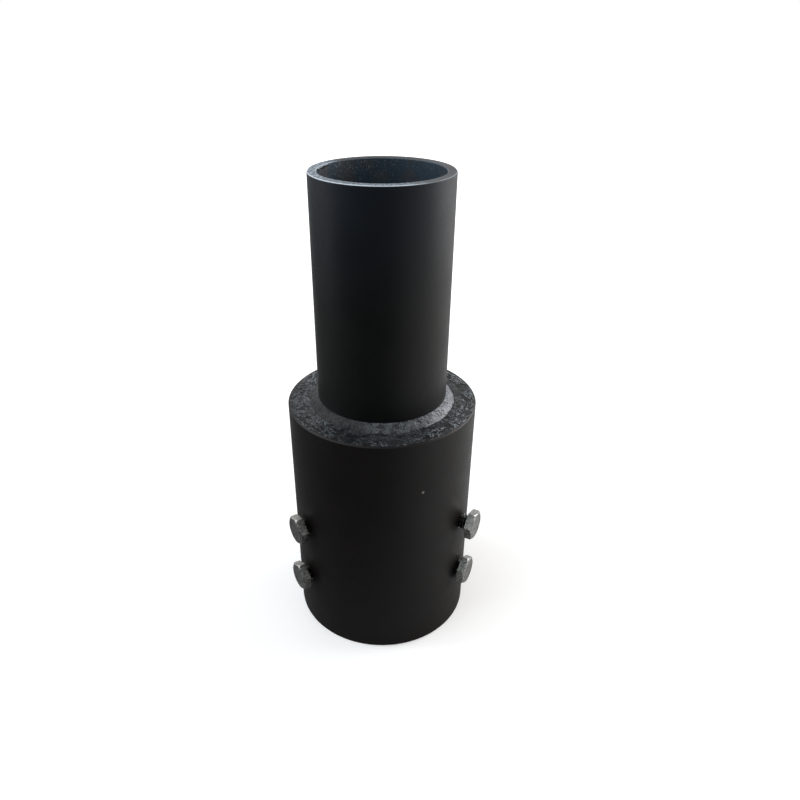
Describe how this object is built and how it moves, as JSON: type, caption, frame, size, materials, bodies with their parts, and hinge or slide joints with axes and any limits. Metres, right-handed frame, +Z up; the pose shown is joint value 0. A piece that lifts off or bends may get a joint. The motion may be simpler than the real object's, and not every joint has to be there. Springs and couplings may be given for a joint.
{
  "type": "post-top reducer sleeve",
  "caption": "Steel sleeve that slips over a post top, is clamped by radial set bolts, and carries a narrower welded tenon for a fitting.",
  "frame": {"origin": "centre of the sleeve's open bottom end, on the sleeve's axis", "axes": "+Z up along the sleeve and the tenon; +Y towards the pair of set bolts at the back, so the other two pairs lie at 210 and 330 degrees"},
  "size_m": [0.0952, 0.0962, 0.225],
  "materials": {
    "black_paint": "satin, fine orange peel",
    "painted_weld": "satin over rough weld",
    "zinc_steel": "zinc plated, slightly dull"
  },
  "bodies": {
    "sleeve_body": {"sleeve_tube": "black_paint", "adapter_ring": "black_paint", "tenon_tube": "black_paint", "sleeve_ring_weld": "painted_weld", "tenon_fillet_weld": "painted_weld"},
    "upper_back_bolt": {"upper_back_bolt": "zinc_steel"},
    "upper_left_bolt": {"upper_left_bolt": "zinc_steel"},
    "upper_right_bolt": {"upper_right_bolt": "zinc_steel"},
    "lower_back_bolt": {"lower_back_bolt": "zinc_steel"},
    "lower_left_bolt": {"lower_left_bolt": "zinc_steel"},
    "lower_right_bolt": {"lower_right_bolt": "zinc_steel"}
  },
  "joints": [
    {"name": "upper_back_screw", "type": "slide", "parent": "sleeve_body", "child": "upper_back_bolt", "axis": [0, 1, 0], "range_m": [-0.0025, 0.0025]},
    {"name": "upper_left_screw", "type": "slide", "parent": "sleeve_body", "child": "upper_left_bolt", "axis": [-0.866, -0.5, 0], "range_m": [-0.00125, 0.00375]},
    {"name": "upper_right_screw", "type": "slide", "parent": "sleeve_body", "child": "upper_right_bolt", "axis": [0.866, -0.5, 0], "range_m": [-0.0025, 0.0025]},
    {"name": "lower_back_screw", "type": "slide", "parent": "sleeve_body", "child": "lower_back_bolt", "axis": [0, 1, 0], "range_m": [-0.0025, 0.0025]},
    {"name": "lower_left_screw", "type": "slide", "parent": "sleeve_body", "child": "lower_left_bolt", "axis": [-0.866, -0.5, 0], "range_m": [-0.00125, 0.00375]},
    {"name": "lower_right_screw", "type": "slide", "parent": "sleeve_body", "child": "lower_right_bolt", "axis": [0.866, -0.5, 0], "range_m": [-0.00125, 0.00375]}
  ]
}
